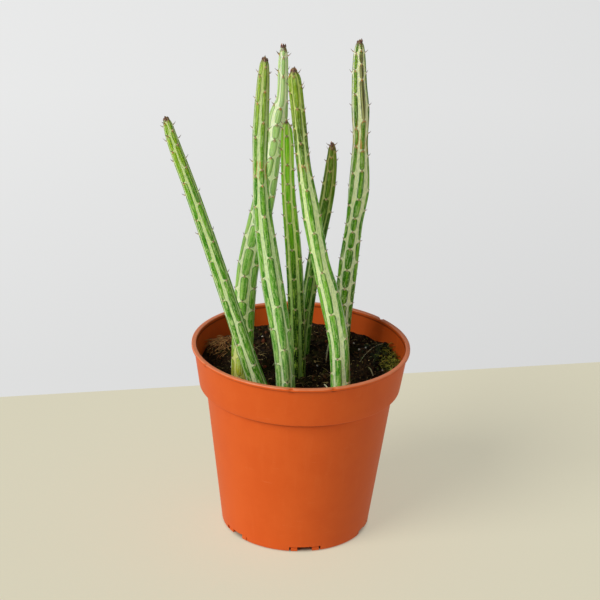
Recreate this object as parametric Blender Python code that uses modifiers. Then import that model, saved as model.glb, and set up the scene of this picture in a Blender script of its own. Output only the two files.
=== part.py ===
"""Potted pickle plant: seven ribbed succulent stems standing in peat in a moulded nursery pot.

Metres, +Z up. The origin lies on the floor under the middle of the whole outline. The pot's own
axis stands a little to the right of it, because one stem leans out past the rim on the left.
Everything is modelled round the pot's axis and hangs on one empty that stands there.
"""
import math

import bmesh
import bpy
import numpy as np
from mathutils import Matrix, Vector, noise

MM = 0.001
GAP = 0.3 * MM  # clearance between pieces that rest on each other
MERGE = 0.01 * MM
TURNED_SHARP_ANGLE = math.radians(30)  # edges with a sharper turn than this stay sharp in shading
STEM_SHARP_ANGLE = math.radians(75)
NAME = "potted_pickle_plant"

# Pot: a thin-walled moulded pot with a lip, a conical band below it and a narrower conical body
POT_AXIS_X = 6.9 * MM
POT_SIDES = 48
POT_HEIGHT = 97.3 * MM
LIP_RADIUS = 54.0 * MM
LIP_HEIGHT = 1.3 * MM
LIP_ROUNDING = 0.4 * MM
BAND_TOP_RADIUS = 53.1 * MM
BAND_FOOT_RADIUS = 50.1 * MM
BAND_FOOT_HEIGHT = 75.8 * MM
BODY_TOP_RADIUS = 46.9 * MM
BODY_FOOT_RADIUS = 37.3 * MM
FOOT_ROUNDING = 1.0 * MM
WALL = 1.3 * MM
PLATE_UNDERSIDE = 2.6 * MM
FOOT_RING_WIDTH = 2.4 * MM
NOTCHES = 6
NOTCH_HEIGHT = 2.3 * MM
NOTCH_FACE_RADIUS = 36.1 * MM
NOTCH_GAP = 8.3 * MM
NOTCH_FIRST_ANGLE = 8.9  # degrees to the right of the front
DRAIN_INNER_RADIUS = 26.0 * MM
DRAIN_OUTER_RADIUS = 33.0 * MM

# Peat: fills the pot to a lumpy top that is higher at the back
PEAT_LEVEL = 84.0 * MM
PEAT_SLOPE = 0.055  # rise towards the back
PEAT_RINGS = 8
LUMP_HEIGHT = 1.3 * MM
LUMP_SIZE = 9.0 * MM
MOUNDS = (  # centre x, centre y, height, radius
    (-39 * MM, 16 * MM, 3.5 * MM, 11 * MM),
    (40 * MM, 14 * MM, 3.0 * MM, 12 * MM),
)

# Stems: each is six rows of long leaf-base cells, every cell ending in one small spine
RIBS = 6
SECTION_SIDES = 2 * RIBS
CREST = 1.05  # crest and groove radii, as shares of half the stem's thickness
GROOVE = 0.93
CELL_BULGE = 0.07
CELL_WAIST = 0.07
WAIST_AT = 0.12  # how far into a new cell its waist is, as a share of the cell
SPINE_LENGTH = 2.2 * MM
SPINE_BASE = 0.55 * MM
SPINE_FULL_HALF = 3 * MM  # half the stem's thickness from which spines have their full length
SPINE_LEAN = math.radians(48)  # away from the stem's direction
TIP_LENGTH = 1.25  # times the thickness near the tip
TIP_FULLNESS = 0.7
TIP_RINGS = (0.35, 0.65, 0.88)  # shares of the way up the rounded tip
LEAST_RING_SPACING = 0.7 * MM
HOLE_SIDES = 16
HOLE_RISE = 8 * MM  # how far a hole's cutter runs past the peat's level
RELIEF_START = 86.0 * MM  # height where the plain buried foot turns into cells

# route: x, y, z and thickness in mm, from the buried foot to the tip, with x and y from the pot's axis.
# cells: length of a cell in mm at even steps from the peat to the tip. first: height along the stem, in mm
# above the peat, of the lowest spine on the rib that faces front. turn: that rib's angle in degrees to
# the right of the front. twist: degrees it turns from foot to tip.
STEMS = {
    "stem_leaning_left": {
        "route": (
            (-14.6, -28.4, 68, 9.0), (-20.0, -27.8, 85, 9.0), (-25.4, -27.2, 101, 8.0), (-39.9, -25.3, 145, 7.2),
            (-53.3, -23.5, 184, 6.9), (-62.0, -22.4, 207, 6.2), (-66.2, -22.0, 218.8, 5.0),
        ),
        "cells": (24, 22, 21, 20, 17, 8), "first": 23.7, "turn": -25, "twist": 4,
    },
    "stem_tall_left": {
        "route": (
            (-5.4, -29.8, 68, 8.6), (-8.2, -27.4, 104, 9.6), (-14.8, -24.0, 142, 10.8), (-19.9, -21.4, 172, 8.9),
            (-22.0, -19.7, 193, 6.8), (-22.3, -18.0, 212, 7.8), (-21.9, -16.2, 235, 6.6), (-21.5, -15.0, 247, 5.2),
        ),
        "cells": (17, 23, 24, 17, 13, 13, 9), "first": 5.7, "turn": 5, "twist": 15,
    },
    "stem_tall_back": {
        "route": (
            (-28.2, -15.0, 68, 10.2), (-28.6, -11.0, 99.6, 10.4), (-27.4, -5.5, 138.2, 10.8),
            (-21.2, -1.0, 168.1, 10.2), (-16.1, 3.0, 199, 7.8), (-14.6, 5.0, 213.1, 9.0), (-13.2, 6.0, 221.1, 5.8),
            (-13.2, 8.0, 238, 4.9), (-13.2, 9.0, 246.6, 4.0),
        ),
        "cells": (9, 10, 12, 12, 11, 8, 9, 8), "first": 12.5, "turn": -15, "twist": 0,
    },
    "stem_tall_front": {
        "route": (
            (20.8, -27.6, 68, 9.4), (18.2, -25.8, 108, 9.6), (13.2, -24.2, 131, 10.2), (7.0, -23.0, 152, 9.0),
            (2.4, -22.0, 174, 9.2), (-1.9, -20.6, 197, 6.9), (-4.6, -19.4, 218, 6.8), (-7.2, -18.4, 236, 6.7),
            (-8.3, -18.0, 243, 5.6),
        ),
        "cells": (23, 23, 20, 19, 13, 8), "first": 17.5, "turn": -2, "twist": 0,
    },
    "stem_middle": {
        "route": (
            (-1.0, -9.2, 68, 8.0), (-2.4, -8.3, 113, 8.0), (-4.9, -7.6, 146, 7.7), (-8.5, -6.8, 180, 6.6),
            (-9.8, -6.2, 202, 6.1), (-10.6, -6.0, 214, 5.0),
        ),
        "cells": (21, 16, 13, 10, 10, 8), "first": 15.1, "turn": 0, "twist": -15,
    },
    "stem_short_back": {
        "route": (
            (0.2, 16.0, 68, 7.0), (1.6, 16.7, 102, 7.0), (5.0, 17.8, 137, 7.1), (10.9, 19.0, 167, 6.2),
            (12.2, 19.6, 184, 5.6), (11.7, 20.0, 195.8, 4.4),
        ),
        "cells": (18, 17, 14, 8), "first": 9.0, "turn": -12, "twist": 0,
    },
    "stem_tall_right": {
        "route": (
            (19.8, 12.0, 68, 8.8), (20.4, 12.3, 104, 8.8), (22.8, 12.7, 140, 9.2), (25.5, 13.2, 175, 9.9),
            (25.2, 13.4, 199, 7.1), (24.4, 13.6, 214, 8.6), (23.0, 13.9, 240, 6.4), (22.7, 14.0, 249, 5.0),
        ),
        "cells": (10, 10, 8, 9, 14, 9, 13, 9), "first": 9.6, "turn": 5, "twist": 14,
    },
}

COLOURS = {
    "pot": ((0.73, 0.15, 0.036), 0.45),
    "peat": ((0.020, 0.012, 0.007), 0.95),
    "stem": ((0.16, 0.34, 0.07), 0.5),
}


def clear_scene():
    """Remove what a new file starts with."""
    for obj in list(bpy.data.objects):
        bpy.data.objects.remove(obj)


def new_collection(name):
    """Add a collection to the scene."""
    group = bpy.data.collections.new(name)
    bpy.context.scene.collection.children.link(group)
    return group


def new_material(name):
    """A material with its colour and roughness from COLOURS."""
    colour, roughness = COLOURS[name]
    material = bpy.data.materials.new(name)
    material.use_nodes = True
    shader = material.node_tree.nodes["Principled BSDF"]
    shader.inputs["Base Color"].default_value = (*colour, 1.0)
    shader.inputs["Roughness"].default_value = roughness
    return material


def add_object(name, mesh, group, material=None):
    """Put a mesh in a collection as a named object."""
    obj = bpy.data.objects.new(name, mesh)
    group.objects.link(obj)
    if material:
        mesh.materials.append(material)
    return obj


def add_cutter(name, mesh, group):
    """A guide object that a Boolean cuts with."""
    obj = add_object(name, mesh, group)
    obj.hide_render = True
    obj.display_type = "WIRE"
    return obj


def mesh_from(name, bm):
    """Turn a bmesh into a mesh and free it."""
    bmesh.ops.recalc_face_normals(bm, faces=bm.faces)
    mesh = bpy.data.meshes.new(name)
    bm.to_mesh(mesh)
    bm.free()
    return mesh


def shade_round(mesh, sharp_angle):
    """Shade a mesh smooth, apart from edges that turn by more than an angle."""
    mesh.shade_smooth()
    mesh.set_sharp_from_angle(angle=sharp_angle)


def turned_mesh(name, profile):
    """Turn a profile of (radius, height) points round the Z axis and return the finished mesh."""
    outline = bpy.data.meshes.new(name + "_profile")
    edges = [(i, i + 1) for i in range(len(profile) - 1)]
    outline.from_pydata([(radius, 0.0, height) for radius, height in profile], edges, [])
    obj = bpy.data.objects.new(name + "_profile", outline)
    bpy.context.scene.collection.objects.link(obj)
    screw = obj.modifiers.new("Turn", "SCREW")
    screw.steps = POT_SIDES
    screw.render_steps = POT_SIDES
    screw.use_merge_vertices = True
    screw.merge_threshold = MERGE
    evaluated = obj.evaluated_get(bpy.context.evaluated_depsgraph_get())
    mesh = bpy.data.meshes.new_from_object(evaluated)
    mesh.name = name
    shade_round(mesh, TURNED_SHARP_ANGLE)
    bpy.data.objects.remove(obj)
    bpy.data.meshes.remove(outline)
    return mesh


def cut_with(obj, cutters):
    """Cut every solid of a collection out of an object."""
    cut = obj.modifiers.new("Cut", "BOOLEAN")
    cut.operation = "DIFFERENCE"
    cut.operand_type = "COLLECTION"
    cut.collection = cutters
    cut.solver = "EXACT"


def outer_radius(height):
    """The pot's outer radius, leaving out the lip and the rounded edges."""
    if height > BAND_FOOT_HEIGHT:
        share = (height - BAND_FOOT_HEIGHT) / (POT_HEIGHT - LIP_HEIGHT - BAND_FOOT_HEIGHT)
        return BAND_FOOT_RADIUS + share * (BAND_TOP_RADIUS - BAND_FOOT_RADIUS)
    return BODY_FOOT_RADIUS + height / BAND_FOOT_HEIGHT * (BODY_TOP_RADIUS - BODY_FOOT_RADIUS)


def inner_radius(height):
    """The radius of the pot's inside wall, with the step of the band one wall higher than outside."""
    if BAND_FOOT_HEIGHT < height < BAND_FOOT_HEIGHT + WALL:
        return BODY_TOP_RADIUS - WALL
    return outer_radius(height) - WALL


def pot_profile():
    """The pot's section, from the middle of its floor over the lip to the middle of its underside."""
    floor = PLATE_UNDERSIDE + WALL
    step = BAND_FOOT_HEIGHT + WALL
    lip_foot = POT_HEIGHT - LIP_HEIGHT
    lip_inside = BAND_TOP_RADIUS - WALL + LIP_ROUNDING
    ring_inside = BODY_FOOT_RADIUS - FOOT_ROUNDING - FOOT_RING_WIDTH
    return (
        (0.0, floor),
        (inner_radius(floor), floor),
        (BODY_TOP_RADIUS - WALL, step - MM),
        (inner_radius(step + MM), step + MM),
        (inner_radius(lip_foot), lip_foot),
        (lip_inside, POT_HEIGHT),
        (LIP_RADIUS - LIP_ROUNDING, POT_HEIGHT),
        (LIP_RADIUS, POT_HEIGHT - LIP_ROUNDING),
        (LIP_RADIUS, lip_foot),
        (outer_radius(lip_foot), lip_foot - LIP_ROUNDING),
        (outer_radius(BAND_FOOT_HEIGHT + LIP_ROUNDING), BAND_FOOT_HEIGHT + LIP_ROUNDING),
        (BAND_FOOT_RADIUS - LIP_ROUNDING, BAND_FOOT_HEIGHT),
        (BODY_TOP_RADIUS, BAND_FOOT_HEIGHT),
        (outer_radius(FOOT_ROUNDING), FOOT_ROUNDING),
        (BODY_FOOT_RADIUS - FOOT_ROUNDING, 0.0),
        (ring_inside, 0.0),
        (ring_inside, PLATE_UNDERSIDE),
        (0.0, PLATE_UNDERSIDE),
    )


def box_mesh(name, size, centre, angle):
    """A box turned by an angle in degrees to the right of the front, with its size and centre given
    across, outwards and up."""
    bm = bmesh.new()
    across, outwards, up = size
    stretch = Matrix.Diagonal((across, outwards, up, 1.0))
    place = Matrix.Translation((centre[0], -centre[1], centre[2]))
    spin = Matrix.Rotation(math.radians(angle), 4, "Z")
    bmesh.ops.create_cube(bm, size=1.0, matrix=spin @ place @ stretch)
    return mesh_from(name, bm)


def make_pot(group, material):
    """The pot, with a flat recess, a gap in the foot ring and a drain slot at each notch."""
    cutters = new_collection("pot_cutters")
    past = 4 * MM  # how far a cutter runs past the wall that it cuts
    floor = PLATE_UNDERSIDE + WALL
    boxes = (  # name, width, inner radius, outer radius, top
        ("recess", BODY_FOOT_RADIUS, NOTCH_FACE_RADIUS, BODY_FOOT_RADIUS + past, NOTCH_HEIGHT),
        ("foot_gap", NOTCH_GAP, DRAIN_OUTER_RADIUS - MM, BODY_FOOT_RADIUS + past, NOTCH_HEIGHT),
        ("drain", NOTCH_GAP, DRAIN_INNER_RADIUS, DRAIN_OUTER_RADIUS, floor + past),
    )
    for notch in range(NOTCHES):
        angle = NOTCH_FIRST_ANGLE + notch * 360 / NOTCHES
        for kind, width, inner, outer, top in boxes:
            name = f"{kind}_{notch + 1}"
            size = (width, outer - inner, top + past)
            centre = (0.0, (inner + outer) / 2, (top - past) / 2)
            add_cutter(name, box_mesh(name, size, centre, angle), cutters)
    pot = add_object("pot", turned_mesh("pot", pot_profile()), group, material)
    cut_with(pot, cutters)


def peat_height(x, y):
    """Height of the peat's top: a slope up to the back, two mounds and lumps."""
    height = PEAT_LEVEL + PEAT_SLOPE * y
    for centre_x, centre_y, mound, radius in MOUNDS:
        height += mound * math.exp(-((x - centre_x) ** 2 + (y - centre_y) ** 2) / radius**2)
    return height + LUMP_HEIGHT * noise.noise(Vector((x, y, 0.0)) / LUMP_SIZE)


def make_peat(group, material, holes):
    """The peat, which fills the pot up to its lumpy top and has a plain hole for each stem."""
    floor = PLATE_UNDERSIDE + WALL + GAP
    step = BAND_FOOT_HEIGHT + WALL
    top_radius = inner_radius(PEAT_LEVEL) - GAP
    profile = [(ring / PEAT_RINGS * top_radius, PEAT_LEVEL) for ring in range(PEAT_RINGS + 1)]
    profile += [
        (inner_radius(step + MM) - GAP, step + MM + GAP),
        (BODY_TOP_RADIUS - WALL - GAP, step - MM),
        (inner_radius(floor) - GAP, floor),
        (0.0, floor),
    ]
    mesh = turned_mesh("peat", profile)
    for vertex in mesh.vertices:
        x, y, z = vertex.co
        if z < PEAT_LEVEL - MERGE:
            continue
        height = peat_height(x, y)
        radius = math.hypot(x, y)
        if radius > top_radius - MERGE:
            scale = (inner_radius(height) - GAP) / radius
            vertex.co = (x * scale, y * scale, height)
        else:
            vertex.co.z = height
    peat = add_object("peat", mesh, group, material)
    cut_with(peat, holes)


def smooth_route(points, steps=400):
    """Points and thickness along a smooth curve through a route, with the length up to each."""
    knots = np.array(points, float) * MM
    chords = np.linalg.norm(np.diff(knots[:, :3], axis=0), axis=1)
    at = np.concatenate(([0.0], np.cumsum(chords)))
    slopes = np.empty_like(knots)
    slopes[1:-1] = (knots[2:] - knots[:-2]) / (at[2:] - at[:-2])[:, None]
    slopes[0] = (knots[1] - knots[0]) / chords[0]
    slopes[-1] = (knots[-1] - knots[-2]) / chords[-1]
    where = np.linspace(0.0, at[-1], steps)
    span = np.clip(np.searchsorted(at, where, side="right") - 1, 0, len(chords) - 1)
    width = chords[span][:, None]
    share = ((where - at[span]) / chords[span])[:, None]
    curve = (1 + 2 * share) * (1 - share) ** 2 * knots[span] + share * (1 - share) ** 2 * width * slopes[span]
    curve += share**2 * (3 - 2 * share) * knots[span + 1] + share**2 * (share - 1) * width * slopes[span + 1]
    steps_along = np.linalg.norm(np.diff(curve[:, :3], axis=0), axis=1)
    return curve, np.concatenate(([0.0], np.cumsum(steps_along)))


class Stem:
    """A stem's centre line, thickness and rows of cells, all by the length along it from its foot."""

    def __init__(self, route, cells, first, turn, twist):
        self.curve, self.along = smooth_route(route)
        self.length = self.along[-1]
        self.turn = math.radians(turn)
        self.twist = math.radians(twist)
        self.peat_at = self.length_at_height(PEAT_LEVEL)
        steps = np.linspace(self.peat_at, self.length, len(cells))
        pitch = np.interp(self.along, steps, np.array(cells) * MM)
        count = np.concatenate(([0.0], np.cumsum(np.diff(self.along) / pitch[1:])))
        self.count = count - np.interp(self.peat_at + first * MM, self.along, count)
        self.tip_start = self.length - TIP_LENGTH * self.curve[-1, 3]

    def length_at_height(self, height):
        """Length along the stem where it reaches a height."""
        return float(np.interp(height, self.curve[:, 2], self.along))

    def length_at_count(self, count):
        """Length along the stem where a number of cells has passed."""
        return float(np.interp(count, self.count, self.along))

    def count_at_length(self, length):
        """Number of cells passed up to a length."""
        return float(np.interp(length, self.along, self.count))

    def centre(self, length):
        """The point on the centre line."""
        return Vector([np.interp(length, self.along, self.curve[:, axis]) for axis in range(3)])

    def half_thickness(self, length):
        """Half the thickness, drawn in to a rounded point at the tip."""
        half = np.interp(length, self.along, self.curve[:, 3]) / 2
        if length <= self.tip_start:
            return half
        left = (self.length - length) / (self.length - self.tip_start)
        return half * (1 - (1 - left) ** 2) ** TIP_FULLNESS

    def frame(self, length):
        """The stem's direction, its right and its front at a point."""
        step = MM
        low = max(length - step, 0.0)
        ahead = (self.centre(min(length + step, self.length)) - self.centre(low)).normalized()
        right = Vector((1, 0, 0))
        right = (right - right.dot(ahead) * ahead).normalized()
        return ahead, right, right.cross(ahead)

    def outwards(self, length, angle):
        """The direction away from the centre line at an angle to the right of the front."""
        _, right, front = self.frame(length)
        return math.sin(angle) * right + math.cos(angle) * front

    def rib_angle(self, length, rib):
        """Angle of a rib's crest to the right of the front."""
        return self.turn + self.twist * length / self.length + rib * math.tau / RIBS


def crest_radius(share):
    """A crest's radius by how far up its cell it is: drawn in above the last spine, full below the next."""
    bulge = CELL_BULGE * share**3
    waist = CELL_WAIST * (1 - share) ** 4
    return CREST * (1 + bulge - waist)


def add_ring(bm, stem, length, shares):
    """A ring of vertices round the stem, with each one's radius given as a share of half the thickness."""
    centre = stem.centre(length)
    half = stem.half_thickness(length)
    ring = []
    for side, share in enumerate(shares):
        angle = stem.rib_angle(length, side * RIBS / len(shares))
        ring.append(bm.verts.new(centre + stem.outwards(length, angle) * half * share))
    return ring


def bridge_rings(bm, rings):
    """Faces between neighbouring rings and a flat cap under the first."""
    for low, high in zip(rings, rings[1:]):
        for side in range(len(low)):
            after = (side + 1) % len(low)
            bm.faces.new((low[side], low[after], high[after], high[side]))
    bm.faces.new(list(reversed(rings[0])))


def close_tip(bm, ring, point):
    """A fan of faces from the last ring to a point."""
    tip = bm.verts.new(point)
    for side in range(len(ring)):
        bm.faces.new((ring[side], ring[(side + 1) % len(ring)], tip))


def ring_stations(stem):
    """Where the rings that shape the cells and the tip go: length, cells passed and the set of ribs that
    end a cell there, which is 0 for the even ones, 1 for the odd ones or none."""
    start = stem.length_at_height(RELIEF_START)
    top = stem.count_at_length(stem.length)
    stations = []
    for half_cell in range(math.ceil(2 * stem.count_at_length(start)), math.ceil(2 * top)):
        for offset in (0.0, WAIST_AT):
            count = half_cell / 2 + offset
            length = stem.length_at_count(count)
            if start < length < stem.length - LEAST_RING_SPACING:
                stations.append((length, count, half_cell % 2 if offset == 0.0 else None))
    for share in TIP_RINGS:
        length = stem.tip_start + share * (stem.length - stem.tip_start)
        if all(abs(length - other[0]) > LEAST_RING_SPACING for other in stations):
            stations.append((length, stem.count_at_length(length), None))
    return sorted(stations, key=lambda station: station[0])


def cell_share(count, rib):
    """How far up its cell a rib is at a count of cells. Neighbouring ribs are half a cell apart."""
    share = (count - rib % 2 / 2) % 1.0
    return 1.0 if share < 1e-6 else share


def raise_spine(bm, root, tip):
    """Pull a small four-sided spine out of a vertex of the surface."""
    cut = bmesh.ops.bevel(bm, geom=[root], offset=SPINE_BASE, affect="VERTICES", segments=1, profile=0.5)
    fan = bmesh.ops.poke(bm, faces=cut["faces"][:1])
    fan["verts"][0].co = tip


def stem_mesh(name, stem):
    """A stem's solid: a plain round foot, rings with a crest for each rib, a rounded tip and spines."""
    bm = bmesh.new()
    plain_top = stem.length_at_height(RELIEF_START)
    rings = [add_ring(bm, stem, length, [1.0] * SECTION_SIDES) for length in (0.0, plain_top)]
    spines = []
    for length, count, ending in ring_stations(stem):
        shares = []
        for rib in range(RIBS):
            shares += [crest_radius(cell_share(count, rib)), GROOVE]
        ring = add_ring(bm, stem, length, shares)
        rings.append(ring)
        if ending is None:
            continue
        for rib in range(ending, RIBS, 2):
            size = min(1.0, stem.half_thickness(length) / SPINE_FULL_HALF)
            lean = stem.outwards(length, stem.rib_angle(length, rib)) * math.sin(SPINE_LEAN)
            rise = stem.frame(length)[0] * math.cos(SPINE_LEAN)
            root = ring[2 * rib]
            spines.append((root, root.co + (lean + rise) * SPINE_LENGTH * size))
    bridge_rings(bm, rings)
    close_tip(bm, rings[-1], stem.centre(stem.length))
    for root, tip in spines:
        raise_spine(bm, root, tip)
    mesh = mesh_from(name, bm)
    shade_round(mesh, STEM_SHARP_ANGLE)
    return mesh


def hole_mesh(name, stem):
    """The plain hole that a stem's foot stands in, following the foot with an even clearance."""
    bm = bmesh.new()
    corner = 1 / math.cos(math.pi / HOLE_SIDES)
    top = stem.length_at_height(PEAT_LEVEL + HOLE_RISE)
    rings = []
    for length in (0.0, stem.peat_at, top):
        share = (1 + GAP / stem.half_thickness(length)) * corner
        rings.append(add_ring(bm, stem, length, [share] * HOLE_SIDES))
    for vertex in rings[0]:
        vertex.co -= stem.frame(0.0)[0] * GAP
    bridge_rings(bm, rings)
    bm.faces.new(rings[-1])
    return mesh_from(name, bm)


def make_plant(group, material):
    """Make all stems, and return the collection of the holes that they stand in."""
    holes = new_collection("stem_holes")
    for name, sizes in STEMS.items():
        stem = Stem(**sizes)
        add_object(name, stem_mesh(name, stem), group, material)
        add_cutter(name + "_hole", hole_mesh(name + "_hole", stem), holes)
    return holes


def build():
    """Make every piece and hang it on the empty at the pot's axis."""
    clear_scene()
    group = new_collection(NAME)
    holes = make_plant(group, new_material("stem"))
    make_pot(group, new_material("pot"))
    make_peat(group, new_material("peat"), holes)
    axis = bpy.data.objects.new("pot_axis", None)
    group.objects.link(axis)
    axis.location.x = POT_AXIS_X
    for collection in bpy.data.collections:
        for obj in collection.objects:
            if obj != axis:
                obj.parent = axis
    bpy.context.view_layer.update()


build()
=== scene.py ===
import math

import bmesh
import bpy
import numpy as np
from mathutils import Matrix, Vector, noise


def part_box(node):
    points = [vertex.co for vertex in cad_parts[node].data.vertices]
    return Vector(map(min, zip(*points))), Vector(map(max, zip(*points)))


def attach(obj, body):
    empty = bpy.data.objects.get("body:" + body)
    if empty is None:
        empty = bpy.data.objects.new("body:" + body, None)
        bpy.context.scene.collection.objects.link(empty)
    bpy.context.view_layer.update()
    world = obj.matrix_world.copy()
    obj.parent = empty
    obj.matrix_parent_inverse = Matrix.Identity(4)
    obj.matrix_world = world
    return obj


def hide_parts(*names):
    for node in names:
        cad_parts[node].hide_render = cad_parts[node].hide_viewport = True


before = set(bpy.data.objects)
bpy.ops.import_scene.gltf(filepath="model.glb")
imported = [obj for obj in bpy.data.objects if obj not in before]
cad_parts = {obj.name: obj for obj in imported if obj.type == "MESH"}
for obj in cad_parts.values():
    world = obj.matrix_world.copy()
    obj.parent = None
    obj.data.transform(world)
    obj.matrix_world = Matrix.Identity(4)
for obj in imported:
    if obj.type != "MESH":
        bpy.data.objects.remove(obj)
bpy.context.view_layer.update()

MM = 0.001
POT_LOW, POT_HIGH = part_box("pot")
AXIS = Vector(((POT_LOW.x + POT_HIGH.x) / 2, (POT_LOW.y + POT_HIGH.y) / 2, 0.0))
SIDEWAYS = (0.31, 0.17, 0.935)  # a direction that no tube's path follows


# Colours and meshes


def srgb(red, green, blue):
    """A screen colour, 0 to 255, as the linear colour with alpha that shaders take."""
    shares = [channel / 255 for channel in (red, green, blue)]
    return (*[c / 12.92 if c <= 0.04045 else ((c + 0.055) / 1.055) ** 2.4 for c in shares], 1.0)


def object_from(name, vertices, faces, material, corner_maps=None):
    """An object from arrays of vertices and faces, with UV maps that have one row for each face corner."""
    mesh = bpy.data.meshes.new(name)
    mesh.from_pydata(np.asarray(vertices).tolist(), [], [list(face) for face in faces])
    for map_name, values in (corner_maps or {}).items():
        layer = mesh.uv_layers.new(name=map_name)
        layer.data.foreach_set("uv", np.asarray(values, np.float32).ravel())
    mesh.shade_smooth()
    mesh.materials.append(material)
    obj = bpy.data.objects.new(name, mesh)
    bpy.context.scene.collection.objects.link(obj)
    return obj


def tube_faces(rings, sides, start=0):
    """Quads between neighbouring closed rings, as vertex numbers, ring by ring."""
    low = start + np.arange(rings - 1)[:, None] * sides
    side = np.arange(sides)[None, :]
    after = (side + 1) % sides
    return np.stack([low + side, low + after, low + sides + after, low + sides + side], -1).reshape(-1, 4)


def tube(path, widths, sides):
    """A closed tube along a path, as vertices, faces and how far along the path each vertex is."""
    path = np.asarray(path, float)
    ahead = np.gradient(path, axis=0)
    ahead /= np.linalg.norm(ahead, axis=1, keepdims=True)
    across = np.cross(ahead, SIDEWAYS)
    across /= np.linalg.norm(across, axis=1, keepdims=True)
    above = np.cross(ahead, across)
    turn = np.arange(sides) * math.tau / sides
    circle = np.cos(turn)[None, :, None] * across[:, None] + np.sin(turn)[None, :, None] * above[:, None]
    points = (path[:, None] + circle * np.asarray(widths)[:, None, None] / 2).reshape(-1, 3)
    last = len(points) - sides
    faces = tube_faces(len(path), sides).tolist()
    faces += [list(range(sides))[::-1], list(range(last, last + sides))]
    return points, faces, np.repeat(np.linspace(0, 1, len(path)), sides)


def ball(subdivisions):
    """Vertices and faces of a ball of triangles with a radius of 1."""
    bm = bmesh.new()
    bmesh.ops.create_icosphere(bm, subdivisions=subdivisions, radius=1.0)
    points = np.array([vertex.co for vertex in bm.verts])
    faces = [[vertex.index for vertex in face.verts] for face in bm.faces]
    bm.free()
    return points, faces


class Heap:
    """Gathers small shapes into one mesh, each with a random number of its own and a share along it."""

    def __init__(self):
        self.points = []
        self.faces = []
        self.rows = []
        self.count = 0

    def add(self, points, faces, shares, own):
        self.faces += [[corner + self.count for corner in face] for face in faces]
        self.rows += [(shares[corner], own) for face in faces for corner in face]
        self.points.append(points)
        self.count += len(points)

    def place(self, name, material, slot):
        """Make the piece, which rides on the one body."""
        obj = object_from(name, np.concatenate(self.points), self.faces, material, {"own": self.rows})
        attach(obj, "root")


def smoothstep(low, high, value):
    """0 below low, 1 above high, and a smooth rise between."""
    share = np.clip((value - low) / (high - low), 0, 1)
    return share * share * (3 - 2 * share)


class Value:
    """A socket in a material's nodes. Arithmetic on it adds Math nodes."""

    def __init__(self, nodes, socket):
        self.nodes = nodes
        self.socket = socket

    def math(self, operation, *others):
        return self.nodes.math(operation, self, *others)

    def __add__(self, other):
        return self.math("ADD", other)

    def __radd__(self, other):
        return self.math("ADD", other)

    def __sub__(self, other):
        return self.math("SUBTRACT", other)

    def __rsub__(self, other):
        return self.nodes.math("SUBTRACT", other, self)

    def __mul__(self, other):
        return self.math("MULTIPLY", other)

    def __rmul__(self, other):
        return self.math("MULTIPLY", other)

    def __truediv__(self, other):
        return self.math("DIVIDE", other)

    def __abs__(self):
        return self.math("ABSOLUTE")

    def floor(self):
        return self.math("FLOOR")

    def between(self, low, high, soft=1.0):
        """1 between two values and 0 outside, with a smooth step at each."""
        return self.smooth(low - soft, low + soft) * self.smooth(high + soft, high - soft)

    def smooth(self, low, high):
        """0 below low, 1 above high, and a smooth rise between."""
        node = self.nodes.add("ShaderNodeMapRange")
        node.interpolation_type = "SMOOTHSTEP"
        for name, value in (("Value", self), ("From Min", low), ("From Max", high)):
            self.nodes.feed(node.inputs[name], value)
        return Value(self.nodes, node.outputs["Result"])


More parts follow.
